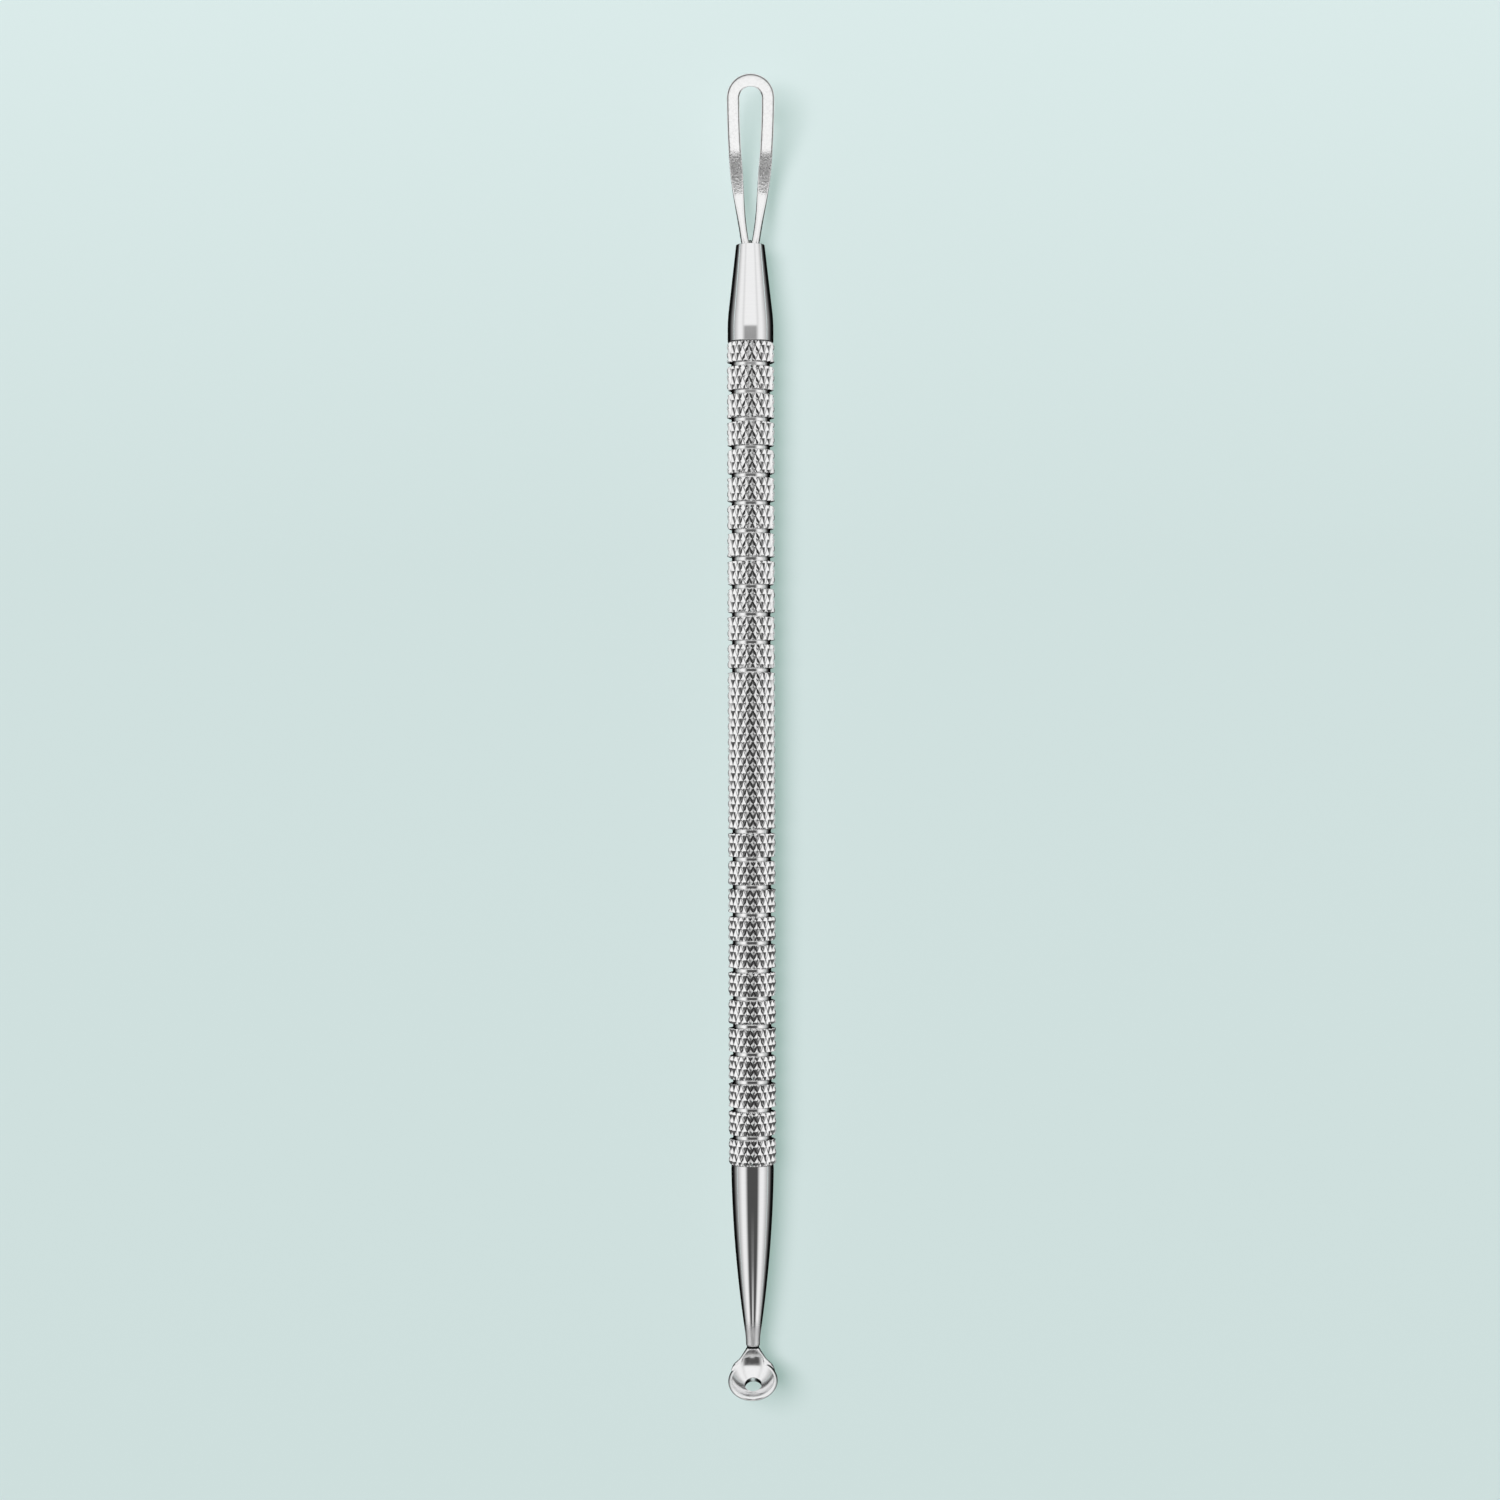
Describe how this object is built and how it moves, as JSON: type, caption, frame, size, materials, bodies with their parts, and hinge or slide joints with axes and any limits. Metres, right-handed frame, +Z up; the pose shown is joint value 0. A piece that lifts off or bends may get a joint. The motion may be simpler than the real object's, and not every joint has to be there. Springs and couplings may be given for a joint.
{
  "type": "blackhead extractor",
  "caption": "Slim steel hand tool for clearing blackheads: a knurled handle bar with tapered ends, a flat wire loop at one end and a small pierced spoon at the other.",
  "frame": {"origin": "on the surface the tool lies on, under the middle of its length and width", "axes": "+Y along the handle towards the loop, +Z up from the surface, the way the open sides of loop and spoon face, +X across"},
  "size_m": [0.005, 0.1314, 0.0059],
  "materials": {
    "knurled_steel": "bright diamond knurl with turned ring grooves",
    "polished_steel": "polished, with fine marks round it",
    "satin_steel": "satin, flattened wire",
    "spoon_steel": "polished cup",
    "filler_metal": "flowed silver filler metal"
  },
  "bodies": {
    "root": {"grip": "knurled_steel", "loop_ferrule": "polished_steel", "spoon_ferrule": "polished_steel", "wire_loop": "satin_steel", "spoon": "spoon_steel", "loop_braze": "filler_metal", "spoon_braze": "filler_metal"}
  },
  "joints": []
}
